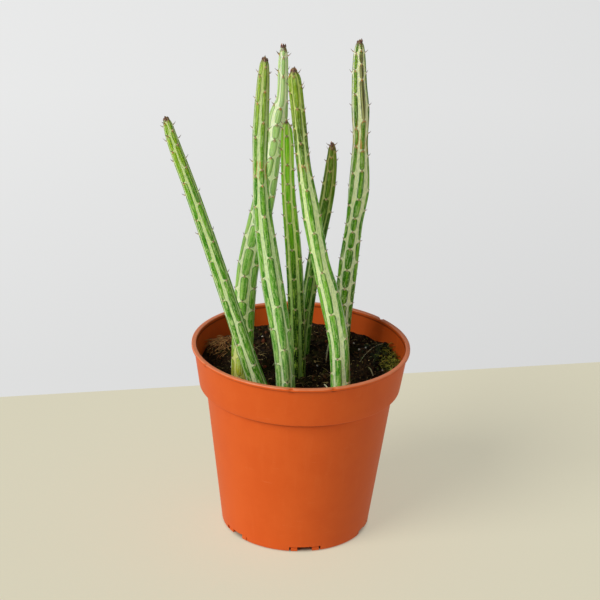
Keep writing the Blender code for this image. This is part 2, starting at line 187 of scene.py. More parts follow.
class Nodes:
    """Builds one material round its Principled shader."""

    def __init__(self, name, roughness=0.5, **settings):
        self.material = bpy.data.materials.new(name)
        self.material.use_nodes = True
        self.tree = self.material.node_tree
        self.shader = self.tree.nodes["Principled BSDF"]
        self.shader.inputs["Roughness"].default_value = roughness
        for socket, value in settings.items():
            self.shader.inputs[socket.replace("_", " ")].default_value = value

    def add(self, kind):
        return self.tree.nodes.new(kind)

    def feed(self, socket, value):
        """Link a value to a socket, or set the socket to a constant."""
        if isinstance(value, Value):
            self.tree.links.new(value.socket, socket)
        else:
            socket.default_value = value

    def math(self, operation, *values):
        node = self.add("ShaderNodeMath")
        node.operation = operation
        for socket, value in zip(node.inputs, values):
            self.feed(socket, value)
        return Value(self, node.outputs[0])

    def uv(self, name):
        """The two coordinates of a UV map."""
        node = self.add("ShaderNodeUVMap")
        node.uv_map = name
        return self.split(Value(self, node.outputs["UV"]))[:2]

    def split(self, vector):
        node = self.add("ShaderNodeSeparateXYZ")
        self.feed(node.inputs[0], vector)
        return [Value(self, socket) for socket in node.outputs]

    def join(self, x, y, z=0.0):
        node = self.add("ShaderNodeCombineXYZ")
        for socket, value in zip(node.inputs, (x, y, z)):
            self.feed(socket, value)
        return Value(self, node.outputs[0])

    def place(self):
        """The point on the surface in metres, in the part's own frame."""
        return Value(self, self.add("ShaderNodeTexCoord").outputs["Object"])

    def noise(self, vector, scale=1.0, detail=2.0, roughness=0.5):
        node = self.add("ShaderNodeTexNoise")
        settings = {"Vector": vector, "Scale": scale, "Detail": detail, "Roughness": roughness}
        for name, value in settings.items():
            self.feed(node.inputs[name], value)
        return Value(self, node.outputs["Fac"])

    def mix(self, share, first, second):
        """A colour between two others."""
        node = self.add("ShaderNodeMix")
        node.data_type = "RGBA"
        self.feed(node.inputs["Factor"], share)
        self.feed(node.inputs[6], first)
        self.feed(node.inputs[7], second)
        return Value(self, node.outputs[2])

    def ramp(self, value, stops):
        """A colour that changes along stops of (millimetres, screen colour) as the value goes from 0 to 1."""
        node = self.add("ShaderNodeValToRGB")
        elements = node.color_ramp.elements
        elements[0].position, elements[0].color = stops[0][0] / LENGTHWAYS, srgb(*stops[0][1])
        elements[1].position, elements[1].color = stops[-1][0] / LENGTHWAYS, srgb(*stops[-1][1])
        for at, shade in stops[1:-1]:
            elements.new(at / LENGTHWAYS).color = srgb(*shade)
        self.feed(node.inputs["Fac"], value)
        return Value(self, node.outputs["Color"])

    def bump(self, height, distance):
        """Raise the surface's fine relief by a height from 0 to 1 times a distance in metres."""
        node = self.add("ShaderNodeBump")
        self.feed(node.inputs["Height"], height)
        node.inputs["Distance"].default_value = distance
        self.tree.links.new(node.outputs["Normal"], self.shader.inputs["Normal"])

    def finish(self, colour, roughness=None):
        self.feed(self.shader.inputs["Base Color"], colour)
        if roughness is not None:
            self.feed(self.shader.inputs["Roughness"], roughness)
        return self.material


# Stems


RIBS = 6
RIB_SIDES = 14
STEM_SIDES = RIBS * RIB_SIDES
CREST = 1.05
GROOVE = 0.93
RING_STEP = 0.42 * MM
TIP_LENGTH = 1.35
TIP_FULLNESS = 0.8
PEAT_LEVEL = 84.0 * MM
RIB_PITCH = 4.6  # millimetres from rib to rib, on a stem of common thickness
CELL_FOOT = 0.80  # width of a cell's foot, as a share of its full width
CELL_GAP = 0.3  # millimetres from a cell's end to the rows of bands between two cells
CELL_HEIGHT = 0.045
SPINE_SIDES = 8
SPINE_RINGS = 6
SPINE_LEAN = math.radians(50)

STEMS = {  # route: x, y, height and thickness; crests and twist: degrees; tops of cells: above the peat
    "stem_leaning_left": {
        "route": (
            (-14.6, -28.4, 68, 9.0), (-20.0, -27.8, 85, 9.0), (-25.6, -27.2, 101, 8.0),
            (-40.4, -25.3, 145, 7.2), (-54.1, -23.5, 184, 6.2), (-62.7, -22.4, 207, 5.3),
            (-66.3, -22.0, 218.8, 3.4),
        ),
        "tops": (
            (20.9, 41.9, 61.9, 83.9, 103.9, 120.9, 130.9, 137.9),
            (5.5, 26.5, 50, 70.5, 91.5, 110.5, 126.3, 134, 140),
            (14.4, 37.4, 59.4, 79.4, 98.9, 117.4, 128.9, 135.9),
        ),
        "crests": (0, 75, 137, 193, 246, 301), "twist": ((0, -36), (160, -32)),
        "width": ((0, 0.37), (160, 0.37)), "corner": 1.1,
    },
    "stem_tall_left": {
        "route": (
            (-5.4, -29.8, 68, 8.6), (-8.4, -27.4, 104, 9.5), (-15.3, -24.0, 142, 10.3),
            (-20.2, -21.4, 172, 8.6), (-22.0, -19.7, 193, 6.6), (-22.3, -18.0, 212, 7.1),
            (-21.7, -16.2, 235, 5.6), (-21.3, -15.0, 247, 3.4),
        ),
        "tops": (
            (15.9, 33.9, 59.4, 82.4, 94.4, 108.9, 127.4, 143.4, 155.9),
            (6.5, 23, 45, 69.5, 89.5, 104.5, 112, 134.5, 149, 160),
            (8.9, 31.9, 55.9, 78.9, 97.9, 114.9, 130.9, 144.9, 156.9),
        ),
        "crests": (0, 60, 120, 180, 240, 300), "twist": ((0, 11), (90, 12), (125, 20)),
        "width": ((0, 0.41), (42, 0.41), (50, 0.34), (80, 0.31), (165, 0.34)), "corner": 1.2,
    },
    "stem_tall_back": {
        "route": (
            (-28.2, -15.0, 68, 10.2), (-28.6, -11.0, 99.6, 10.4), (-27.0, -5.5, 138.2, 10.2),
            (-21.0, -1.0, 168.1, 10.5), (-16.1, 3.0, 199, 8.0), (-14.6, 5.0, 213.1, 9.0),
            (-13.2, 6.0, 221.1, 5.6), (-13.2, 8.0, 238, 4.7), (-13.2, 9.0, 246.6, 2.9),
        ),
        "tops": (
            (9.9, 21.9, 33.9, 44.9, 57.9, 70.9, 82.9, 94.9, 107.9, 116.9, 123.9, 136.4, 152.9),
            (11.5, 21.5, 31.5, 39.5, 52, 66, 77.5, 89.5, 101.5, 111.5, 120, 127.5, 135.5, 150.5, 159.5),
            (14.9, 24.9, 34.9, 45.9, 57.9, 68.9, 80.9, 92.9, 101.9, 112.9, 121.4, 129.9, 138.9, 149.9, 159.9),
        ),
        "crests": (0, 66, 126, 180, 234, 296), "twist": ((0, -13), (100, -13), (140, 5)),
        "width": ((0, 0.40), (120, 0.40), (128, 0.34), (165, 0.40)), "corner": 2.0,
    },
    "stem_tall_front": {
        "route": (
            (20.8, -27.6, 68, 9.4), (18.2, -25.8, 108, 9.6), (13.2, -24.2, 131, 10.2), (7.2, -23.0, 152, 8.6),
            (2.5, -22.0, 174, 9.0), (-1.9, -20.6, 197, 6.9), (-4.7, -19.4, 218, 6.7), (-7.2, -18.4, 236, 6.4),
            (-8.1, -18.0, 243, 4.6),
        ),
        "tops": (
            (10.9, 33.4, 56.9, 73.9, 90.4, 107.9, 121.9, 133.9, 150.9),
            (19, 42, 63.5, 83.5, 104.5, 116, 127, 143.5, 158.5),
            (5.9, 28.4, 51.9, 72.9, 90.9, 109.4, 120.9, 130.4, 141.9, 153.4),
        ),
        "crests": (0, 67, 126, 180, 240, 309), "twist": ((0, -14), (30, -13), (55, -5), (75, 0), (165, -2)),
        "width": ((0, 0.32), (40, 0.32), (55, 0.27), (110, 0.28), (130, 0.40)), "corner": 1.1,
    },
    "stem_middle": {
        "route": (
            (-1.0, -9.2, 68, 8.2), (-2.5, -8.3, 113, 8.3), (-5.0, -7.6, 146, 7.8), (-8.7, -6.8, 180, 6.5),
            (-9.9, -6.2, 202, 6.2), (-10.6, -6.0, 214, 4.6),
        ),
        "tops": (
            (7.9, 27.9, 42.9, 57.9, 72.9, 83.9, 94.9, 104.9, 116.9, 126.9),
            (16, 36.5, 52, 67, 80.5, 91, 100, 109.5, 123.5),
            (9.9, 28.9, 44.9, 61.9, 75.9, 87.9, 97.9, 106.9, 118.9, 127.9),
        ),
        "crests": (0, 60, 120, 180, 240, 300), "twist": ((0, -7), (80, -6), (110, 0)),
        "width": ((0, 0.33), (165, 0.35)), "corner": 0.8,
    },
    "stem_short_back": {
        "route": (
            (0.2, 16.0, 68, 7.2), (1.8, 16.7, 102, 7.2), (5.6, 17.8, 137, 7.0), (10.2, 18.9, 167, 6.9),
            (11.7, 19.6, 184, 5.6), (11.8, 20.0, 195.8, 2.9),
        ),
        "tops": (
            (13.9, 31.9, 50.9, 67.9, 91.4, 102.9),
            (5.5, 25.5, 43.5, 61.5, 84.5, 98.5, 105.5, 110),
            (16.9, 34.9, 55.9, 77.9, 91.4, 107.9),
        ),
        "crests": (0, 66, 126, 180, 234, 294), "twist": ((0, -12), (110, -8)),
        "width": ((0, 0.38), (110, 0.42)), "corner": 1.4,
    },
    "stem_tall_right": {
        "route": (
            (19.8, 12.0, 68, 8.8), (20.4, 12.3, 104, 8.8), (21.9, 12.6, 133, 9.7), (23.9, 12.9, 157, 8.5),
            (25.4, 13.2, 175, 9.9), (25.1, 13.4, 199, 7.0), (24.5, 13.6, 214, 8.1), (23.4, 13.8, 227, 6.9),
            (22.8, 13.9, 240, 5.6), (22.7, 14.0, 249, 3.0),
        ),
        "tops": (
            (12.9, 23.9, 34.9, 44.9, 54.9, 64.9, 72.9, 82.9, 99.9, 113.4, 122.4, 139.4, 150.9, 158.9),
            (11.5, 21.5, 31.5, 40, 50, 61, 70, 77, 87, 101.5, 111.5, 126.5, 146.5, 154, 160.5),
            (8.9, 19.9, 31.9, 42.9, 53.9, 64.9, 80.9, 90.9, 107.9, 118.9, 132.9, 148.9, 158.9),
        ),
        "crests": (0, 66, 126, 180, 240, 302), "twist": ((40, -9), (75, -4), (93, 8), (118, 22), (165, 19)),
        "width": ((60, 0.38), (85, 0.32), (95, 0.29), (120, 0.31), (140, 0.36)), "corner": 1.8,
    },
}


def smooth_route(points, steps=400):
    """Points and thickness along a smooth curve through a route, with the length up to each."""
    knots = np.array(points, float) * MM
    chords = np.linalg.norm(np.diff(knots[:, :3], axis=0), axis=1)
    at = np.concatenate(([0.0], np.cumsum(chords)))
    slopes = np.empty_like(knots)
    slopes[1:-1] = (knots[2:] - knots[:-2]) / (at[2:] - at[:-2])[:, None]
    slopes[0] = (knots[1] - knots[0]) / chords[0]
    slopes[-1] = (knots[-1] - knots[-2]) / chords[-1]
    where = np.linspace(0.0, at[-1], steps)
    span = np.clip(np.searchsorted(at, where, side="right") - 1, 0, len(chords) - 1)
    width = chords[span][:, None]
    share = ((where - at[span]) / chords[span])[:, None]
    curve = (1 + 2 * share) * (1 - share) ** 2 * knots[span] + share * (1 - share) ** 2 * width * slopes[span]
    curve += share**2 * (3 - 2 * share) * knots[span + 1] + share**2 * (share - 1) * width * slopes[span + 1]
    steps_along = np.linalg.norm(np.diff(curve[:, :3], axis=0), axis=1)
    return curve, np.concatenate(([0.0], np.cumsum(steps_along)))


class Stem:
    """A stem's centre line, thickness and columns of cells, all by the length along it from its foot."""

    def __init__(self, seed, route, tops, crests, twist, width, corner):
        self.corner = corner
        self.curve, self.along = smooth_route(route)
        self.curve[:, :3] += AXIS
        self.length = self.along[-1]
        self.peat_at = np.interp(PEAT_LEVEL, self.curve[:, 2], self.along)
        self.crests = np.radians((*crests, 360))
        self.twist = np.array(twist, float)
        self.width = np.array(width, float)
        self.tops = [self.column(np.array(column, float)) for column in tops]
        self.tip_start = self.length - TIP_LENGTH * self.curve[-1, 3]
        rng = np.random.default_rng(seed)
        self.widths = rng.uniform(0.92, 1.08, (RIBS, 40))
        self.tones = rng.random((RIBS, 40))

    def column(self, tops):
        """Lengths of a column's cell tops, with more cells down to the foot and up to the tip."""
        first, last = tops[1] - tops[0], min(tops[-1] - tops[-2], 8.0)
        below = tops[0] - first * np.arange(4, 0, -1)
        above = tops[-1] + last * np.arange(1, 6)
        return self.peat_at + np.concatenate((below, tops, above)) * MM

    def above_peat(self, lengths):
        return (lengths - self.peat_at) / MM

    def centre(self, lengths):
        return np.stack([np.interp(lengths, self.along, self.curve[:, axis]) for axis in range(3)], -1)

    def half_thickness(self, lengths):
        """Half the thickness, drawn in to a rounded point at the tip."""
        half = np.interp(lengths, self.along, self.curve[:, 3]) / 2
        left = np.clip((self.length - lengths) / (self.length - self.tip_start), 0, 1)
        return half * (1 - (1 - left) ** 2) ** TIP_FULLNESS

    def directions(self, lengths):
        """The stem's direction, its right and its front at each length."""
        step = MM
        ahead = self.centre(np.minimum(lengths + step, self.length))
        ahead -= self.centre(np.maximum(lengths - step, 0))
        ahead /= np.linalg.norm(ahead, axis=-1, keepdims=True)
        right = np.array((1.0, 0.0, 0.0)) - ahead[..., :1] * ahead
        right /= np.linalg.norm(right, axis=-1, keepdims=True)
        return ahead, right, np.cross(right, ahead)

    def angle(self, lengths, ribs):
        """Angle to the right of the front, for a position in ribs."""
        turns = np.floor(ribs / RIBS)
        crest = np.interp(ribs - turns * RIBS, np.arange(RIBS + 1), self.crests) + turns * math.tau
        return crest + np.radians(np.interp(self.above_peat(lengths), self.twist[:, 0], self.twist[:, 1]))

    def count(self, lengths, rib):
        """How far up a rib's column of cells each length is, in cells."""
        counts = [np.interp(lengths, tops, np.arange(len(tops))) for tops in self.tops]
        return np.choose((rib + 1) % 3, counts)

    def cell(self, lengths, rib):
        """For lengths on a rib: count, millimetres per cell, half width in ribs and tone of the cell."""
        lengths, rib = np.broadcast_arrays(lengths, rib)
        rib = rib.astype(int) % RIBS
        count = self.count(lengths, rib)
        number = np.floor(count).astype(int)
        pitches = [np.append(np.diff(tops), MM)[np.minimum(number, len(tops) - 1)] for tops in self.tops]
        pitch = np.choose((rib + 1) % 3, pitches) / MM
        width = np.interp(self.above_peat(lengths), self.width[:, 0], self.width[:, 1])
        return count, pitch, width * self.widths[rib, number], self.tones[rib, number]

    def surface_share(self, lengths, ribs):
        """The surface's radius, as a share of half the thickness, at lengths and positions in ribs."""
        rib = np.floor(ribs + 0.5)
        across = ribs - rib
        count, pitch, width, _ = self.cell(lengths, rib)
        share = count - np.floor(count)
        half = width * RIB_PITCH * (CELL_FOOT + (1 - CELL_FOOT) * smoothstep(0, 0.5, share))
        corner = np.minimum(np.minimum(self.corner, half), pitch / 2 - CELL_GAP)
        beside = np.abs(across) * RIB_PITCH - half + corner
        beyond = np.abs(share - 0.5) * pitch - pitch / 2 + CELL_GAP + corner
        edge = corner - np.hypot(np.maximum(beside, 0), np.maximum(beyond, 0))
        edge -= np.minimum(np.maximum(beside, beyond), 0)
        dome = 1 - 0.4 * (across / width) ** 2
        cell = CELL_HEIGHT * smoothstep(-0.1, 0.6, edge) * dome * (0.4 + 0.6 * share**2)
        ridge = GROOVE + (CREST - GROOVE - CELL_HEIGHT * 0.45) * np.cos(math.pi * across) ** 2
        return ridge + cell

    def surface(self, lengths, ribs):
        """Points on the surface."""
        lengths, ribs = np.broadcast_arrays(lengths, ribs)
        angle = self.angle(lengths, ribs)
        _, right, front = self.directions(lengths)
        outwards = np.sin(angle)[..., None] * right + np.cos(angle)[..., None] * front
        radius = self.half_thickness(lengths) * self.surface_share(lengths, ribs)
        return self.centre(lengths) + outwards * radius[..., None]


def stem_skin_mesh(stem):
    """The stem's outer skin as vertices, faces and its UV maps: ribs round and cells along, millimetres
    above the peat and per cell, and each cell's half width and tone."""
    start = np.interp(PEAT_LEVEL - 6 * MM, stem.curve[:, 2], stem.along)
    body = np.arange(start, stem.tip_start, RING_STEP)
    tip = stem.tip_start + (stem.length - stem.tip_start) * (1 - np.linspace(1, 0, 30, endpoint=False) ** 1.5)
    lengths = np.concatenate((body, tip[1:]))
    points = stem.surface(lengths[:, None], np.arange(STEM_SIDES)[None, :] / RIB_SIDES).reshape(-1, 3)
    faces = tube_faces(len(lengths), STEM_SIDES)
    last = len(points) - STEM_SIDES
    corners = np.concatenate((faces.ravel(), np.arange(last, last + STEM_SIDES)))
    side = corners % STEM_SIDES
    side[: faces.size].reshape(-1, 4)[:, 1:3] = side[: faces.size : 4, None] + 1
    at = lengths[corners // STEM_SIDES]
    quads = np.repeat(np.arange(len(faces)) * 4, 4)
    face_start = np.concatenate((quads, np.arange(faces.size, len(corners))))
    rib = np.floor((side[face_start] + 0.5) / RIB_SIDES + 0.5)
    middle = at[face_start] + RING_STEP / 2
    _, pitch, width, tone = stem.cell(middle, rib)
    count = stem.count(at, rib.astype(int) % RIBS)
    maps = {
        "cells": np.stack((side / RIB_SIDES, count), -1),
        "size": np.stack((stem.above_peat(at), pitch), -1),
        "own": np.stack((width, tone), -1),
    }
    return points, faces.tolist() + [list(range(last, last + STEM_SIDES))], maps


def spine_mesh(stem, length, rib, spine_length, base, lean, rng):
    """One small curved spine with a swollen root, as vertices, faces and shares."""
    root = stem.surface(np.array(length), np.array(float(rib)))
    ahead, right, front = stem.directions(np.array(length))
    angle = stem.angle(length, rib) + rng.normal(0, 0.10)
    outwards = math.sin(angle) * right + math.cos(angle) * front
    shares = np.linspace(0, 1, SPINE_RINGS)
    tilt = lean * (1.25 - 0.55 * shares)
    steps = np.sin(tilt)[:, None] * outwards + np.cos(tilt)[:, None] * ahead
    path = root - outwards * 0.5 * base + np.cumsum(steps, axis=0) * spine_length / SPINE_RINGS
    widths = base * (1 - 0.8 * shares**1.4)
    widths[0] = base * 1.7
    widths[1] = base * 1.1
    return tube(path, widths, SPINE_SIDES)


def spines_of(stem, seed):
    """All spines of a stem in one heap."""
    rng = np.random.default_rng(seed)
    heap = Heap()
    for rib in range(RIBS):
        for length in stem.tops[(rib + 1) % 3]:
            height = (length - stem.peat_at) / (stem.length - stem.peat_at)
            full = rng.uniform(0.75, 1.15) * (1.5 + 0.9 * height) * MM
            if rng.random() < 0.35 * (1 - height):
                full *= 0.5
            base = rng.uniform(0.36, 0.5) * MM
            lean = SPINE_LEAN + rng.normal(0, 0.15)
            own = rng.random()
            if stem.peat_at < length < stem.length - 1.2 * MM:
                heap.add(*spine_mesh(stem, length - 0.1 * MM, rib, full, base, lean, rng), own)
    return heap


def buds_of(stem, seed, number):
    """Small pointed leaves in a tight cluster round the tip."""
    rng = np.random.default_rng(seed + 70)
    heap = Heap()
    for bud in range(number):
        length = stem.length - rng.uniform(0.9, 2.2) * MM
        ahead, right, front = stem.directions(np.array(length))
        angle = math.tau * (bud + rng.uniform(-0.2, 0.2)) / number
        outwards = math.sin(angle) * right + math.cos(angle) * front
        root = stem.centre(length) + outwards * stem.half_thickness(length) * 0.75
        shares = np.linspace(0, 1, SPINE_RINGS)[:, None]
        tall = rng.uniform(1.5, 2.7) * MM
        path = root + (ahead * (shares - 0.3) + outwards * 0.35 * shares * (1 - shares)) * tall
        widths = rng.uniform(0.8, 1.1) * MM * np.array((0.7, 1.0, 1.0, 0.8, 0.5, 0.18))
        heap.add(*tube(path, widths, SPINE_SIDES), rng.random())
    return heap


LENGTHWAYS = 170.0  # millimetres above the peat at the end of each stem's colour ramps
FIRST_STEM_SEED = 11
NONE = (200, 201)  # a stretch above every stem
YOUNG = {  # dark, light and band: colours along the stem; cork and olive: a stretch; all above the peat
    # The pale colours near the foot are partly a waxy bloom and partly painted light that makes up for the
    # shade of the pot and the other stems.
    "dark": ((0, (88, 150, 60)), (35, (66, 140, 32)), (110, (58, 132, 12)), (150, (98, 140, 24))),
    "light": ((0, (168, 212, 124)), (40, (126, 190, 72)), (110, (118, 180, 44)), (150, (160, 190, 64))),
    "band": ((0, (222, 242, 190)), (60, (220, 240, 184)), (130, (214, 234, 172)), (160, (196, 206, 126))),
    "streak": (200, 226, 150), "cork": NONE, "olive": NONE, "tip": 2.2, "buds": 4,
}
LOOKS = {
    "stem_leaning_left": {
        **YOUNG,
        "dark": ((0, (56, 128, 14)), (100, (56, 132, 4)), (125, (104, 156, 4))),
        "light": ((0, (110, 178, 50)), (100, (108, 176, 30)), (125, (156, 194, 30))),
        "band": ((0, (226, 246, 190)), (130, (214, 234, 160))),
        "buds": 3,
    },
    "stem_tall_left": {**YOUNG, "cork": (107, 116)},
    "stem_tall_back": {
        **YOUNG,
        # Painted light: these colours are set paler to make up for the shadow that stem_tall_left casts on
        # this stem.
        "dark": ((0, (168, 170, 14)), (20, (92, 166, 30)), (85, (104, 176, 60)), (100, (160, 200, 120))),
        "light": ((0, (206, 206, 64)), (20, (150, 208, 76)), (85, (170, 216, 120)), (100, (200, 228, 166))),
        "band": ((0, (224, 230, 120)), (30, (240, 252, 200)), (110, (242, 254, 216))),
    },
    "stem_tall_front": {
        **YOUNG,
        "dark": ((0, (70, 150, 34)), (95, (58, 134, 8)), (112, (60, 118, 8)), (130, (50, 84, 2)),
                 (150, (92, 128, 12))),
        "light": ((0, (140, 206, 80)), (95, (120, 186, 36)), (112, (110, 160, 24)), (130, (96, 124, 20)),
                  (150, (150, 184, 44))),
        "band": ((0, (234, 250, 198)), (110, (228, 246, 180)), (150, (200, 216, 120))),
        "cork": (113, 117), "buds": 5,
    },
    "stem_middle": {
        **YOUNG,
        "dark": ((0, (18, 48, 2)), (30, (24, 62, 2)), (58, (60, 120, 8)), (75, (92, 170, 8)),
                 (115, (130, 216, 20))),
        "light": ((0, (34, 66, 8)), (30, (50, 96, 10)), (58, (90, 156, 24)), (75, (136, 206, 26)),
                  (115, (184, 244, 80))),
        "band": ((0, (130, 166, 80)), (40, (190, 226, 130)), (60, (236, 252, 170))),
        "streak": (184, 226, 90), "tip": 0.8, "buds": 2,
    },
    "stem_short_back": {
        **YOUNG,
        "dark": ((0, (36, 84, 6)), (60, (40, 96, 6)), (100, (76, 104, 12))),
        "light": ((0, (70, 124, 20)), (60, (76, 146, 16)), (100, (124, 150, 36))),
        "band": ((0, (140, 176, 90)), (60, (196, 220, 140)), (100, (186, 186, 106))),
        "streak": (150, 186, 90), "tip": 3.2, "buds": 3,
    },
    "stem_tall_right": {
        **YOUNG,
        "dark": ((0, (56, 104, 12)), (60, (56, 128, 6)), (88, (62, 140, 20)), (110, (66, 116, 16)),
                 (128, (56, 104, 4))),
        "light": ((0, (104, 150, 36)), (60, (116, 182, 30)), (88, (128, 188, 54)), (110, (130, 176, 50)),
                  (128, (116, 156, 36))),
        # Painted light: the bands are set near white to make up for the shade of the other stems on this
        # stem.
        "band": ((0, (240, 252, 206)), (150, (244, 254, 206))),
        "cork": (110, 127), "olive": (126, 159), "buds": 4,
    },
}


def stem_material(name, seed, stem, look):
    """Green streaked cells with a thin dark outline in a net of pale bands, and a tan scar at each top."""
    nodes = Nodes(
        name, roughness=0.42, Specular_IOR_Level=0.2, Sheen_Weight=0.06, Sheen_Roughness=0.35,
        Subsurface_Weight=0.5, Subsurface_Radius=(0.9, 1.0, 0.4), Subsurface_Scale=0.005,
    )
    around, along = nodes.uv("cells")
    height, pitch = nodes.uv("size")
    full_width, own = nodes.uv("own")
    up = height / LENGTHWAYS
    across = around - (around + 0.5).floor()
    share = along - along.floor()
    wander = nodes.noise(nodes.join(around * 2.0, height * 0.12, seed), detail=2.0) - 0.5
    across = across + wander * 0.07
    half = full_width * RIB_PITCH * (CELL_FOOT + (1 - CELL_FOOT) * share.smooth(0.0, 0.5))
    corner = half.math("MINIMUM", pitch * 0.5 - CELL_GAP).math("MINIMUM", stem.corner)
    beside = abs(across) * RIB_PITCH - half + corner
    beyond = abs(share - 0.5) * pitch - pitch * 0.5 + CELL_GAP + corner
    outside = beside.math("MAXIMUM", 0.0), beyond.math("MAXIMUM", 0.0)
    edge = corner - (outside[0] * outside[0] + outside[1] * outside[1]).math("SQRT")
    edge = edge - beside.math("MAXIMUM", beyond).math("MINIMUM", 0.0)
    x, y = around * RIB_PITCH, height
    inside = (edge + wander * 0.5).smooth(-0.12, 0.16)
    streaks = nodes.noise(nodes.join(x * 1.5, y * 0.06, own * 30.0 + seed), detail=1.0)
    dashes = nodes.noise(nodes.join(x * 1.7, y * 0.22, own * 30.0 + seed), detail=2.0, roughness=0.6)
    dots = nodes.noise(nodes.place(), 1300.0, detail=1.0)
    green = nodes.mix(streaks.smooth(0.42, 0.60), nodes.ramp(up, look["dark"]), nodes.ramp(up, look["light"]))
    pale = dashes.smooth(0.50, 0.64) * (0.85 - up * 0.5)
    green = nodes.mix(pale, green, srgb(*look["streak"]))
    green = nodes.mix(dots.smooth(0.52, 0.70) * 0.3, green, srgb(*look["streak"]))
    dark = nodes.mix(0.6, nodes.ramp(up, look["dark"]), srgb(20, 46, 14))
    line = edge.smooth(0.42, 0.12)
    green = nodes.mix(line * (0.5 + share.smooth(0.6, 1.0) * 0.3), green, dark)
    shade = nodes.mix(0.35, nodes.ramp(up, look["band"]), nodes.ramp(up, look["dark"]))
    grain = nodes.noise(nodes.join(x * 2.1, y * 0.35, seed), detail=2.0, roughness=0.6)
    band = nodes.mix(grain.smooth(0.48, 0.66), nodes.ramp(up, look["band"]), shade)
    band = nodes.mix(dots.smooth(0.46, 0.36) * 0.4, band, shade)
    colour = nodes.mix(inside, band, green)
    front_rib = around.math("MINIMUM", RIBS - around).math("LESS_THAN", 0.5)
    olive = height.between(*look["olive"]) * front_rib * inside
    brown = nodes.mix(streaks.smooth(0.42, 0.6), srgb(96, 88, 52), srgb(188, 188, 134))
    colour = nodes.mix(olive * 0.85, colour, brown)
    corky = height.between(*look["cork"])
    cork_line = abs(edge + wander * 2.0).smooth(0.45, 0.15) * dashes.smooth(0.40, 0.50)
    colour = nodes.mix(corky * cork_line, colour, srgb(196, 156, 84))
    from_top = ((share - 1.0) * pitch + 0.3) * 0.9
    spot = ((across * RIB_PITCH).math("POWER", 2.0) + from_top * from_top).math("SQRT")
    halo = spot.smooth(1.3, 0.5) * up.smooth(0.45, 0.8) * 0.55
    colour = nodes.mix(halo, colour, srgb(128, 92, 40))
    scar = nodes.mix(up.smooth(0.4, 0.75) * own, srgb(214, 190, 148), srgb(214, 140, 66))
    colour = nodes.mix(spot.smooth(0.62, 0.36) * (0.4 + own * 0.6), colour, scar)
    from_tip = (stem.length - stem.peat_at) / MM - height
    tip_streak = nodes.noise(nodes.join(x * 0.9, y * 0.25, seed), detail=2.0)
    tip = (from_tip + (tip_streak - 0.5) * 12.0).smooth(look["tip"] + 0.6, look["tip"] - 0.8)
    purple = nodes.mix(dashes.smooth(0.42, 0.6), srgb(98, 54, 56), srgb(160, 118, 88))
    colour = nodes.mix(tip * 0.9, colour, purple)
    nodes.bump(streaks * 0.35 + dashes * 0.35 + dots * 0.3 - line * 0.5, 0.00018)
    return nodes.finish(colour)


def spine_material():
    """Dried spines: tan and corky at the root, grey-purple above with a darker point."""
    nodes = Nodes("spine", roughness=0.6)
    share, own = nodes.uv("cells")
    upper = nodes.mix(own, srgb(96, 82, 90), srgb(150, 128, 116))
    colour = nodes.mix(share.smooth(0.05, 0.45), srgb(206, 172, 126), upper)
    colour = nodes.mix(share.smooth(0.75, 1.0), colour, srgb(70, 52, 56))
    grain = nodes.noise(nodes.place(), 3000.0, detail=2.0)
    nodes.bump(grain, 0.0001)
    return nodes.finish(nodes.mix(grain.smooth(0.45, 0.7) * 0.3, colour, srgb(225, 200, 160)))


def bud_material():
    """Bud leaves: purple-brown, streaked, a few of them orange at the point."""
    nodes = Nodes("bud", roughness=0.5)
    share, own = nodes.uv("cells")
    grain = nodes.noise(nodes.place(), 1800.0, detail=2.0)
    colour = nodes.mix(grain.smooth(0.40, 0.62), srgb(84, 46, 52), srgb(150, 104, 86))
    colour = nodes.mix(share.smooth(0.35, 0.05) * 0.8, colour, srgb(140, 160, 80))
    colour = nodes.mix(share.smooth(0.6, 0.9) * own.smooth(0.6, 0.7), colour, srgb(226, 140, 70))
    nodes.bump(grain, 0.0001)
    return nodes.finish(colour)


def make_stem(name, seed, spines, buds):
    """A stem with its spines and bud leaves as one piece in place of its plain solid."""
    stem = Stem(seed, **STEMS[name])
    points, faces, maps = stem_skin_mesh(stem)
    heaps = (spines_of(stem, seed), buds_of(stem, seed, LOOKS[name]["buds"]))
    materials = [0] * len(faces)
    points = [points]
    for number, heap in enumerate(heaps):
        start = sum(len(some) for some in points)
        faces += [[corner + start for corner in face] for face in heap.faces]
        materials += [number + 1] * len(heap.faces)
        points += heap.points
        zeros = np.zeros((len(heap.rows), 2))
        for key, rows in (("cells", heap.rows), ("size", zeros), ("own", zeros)):
            maps[key] = np.concatenate((maps[key], rows))
    skin = stem_material(name + "_skin", seed, stem, LOOKS[name])
    obj = object_from(name + "_skin", np.concatenate(points), faces, skin, maps)
    obj.data.materials.append(spines)
    obj.data.materials.append(buds)
    obj.data.polygons.foreach_set("material_index", materials)
    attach(obj, "root")
    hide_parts(name)


# Pot


POT_SIDES = 360
POT_HEIGHT = 97.3
BAND_FOOT = 75.8
LIP_RADIUS = 54.3
LIP_FOOT = 95.7
BAND_RADIUS = 50.1
BAND_FLARE = 0.153
BODY_TOP_RADIUS = 46.9
BODY_FOOT_RADIUS = 37.3
RING_RADIUS = 33.9
FLOOR = 3.9
PLATE_UNDERSIDE = 2.6
STEP_TOP = 78.1
WALL = 1.3
LONGEST_STEP = 5.0  # millimetres along the profile
SHARP_ANGLE = math.radians(38)
NOTCHES = 6
NOTCH_FIRST_ANGLE = 8.6
NOTCH_BOXES = (  # cut from the foot at each notch: middle, width, inner and outer radius, bottom, top
    (0.0, 15.9, 36.5, 41.0, -2.0, 2.9),
    (0.0, 7.5, 29.0, 41.0, -2.0, 2.6),
    (-7.5, 0.9, 33.0, 41.0, -2.0, 2.9),
    (7.5, 0.9, 33.0, 41.0, -2.0, 2.9),
    (0.0, 15.9, 34.5, 41.0, 2.35, 2.9),
    (0.0, 8.3, 26.0, 33.0, -2.0, 6.0),
)
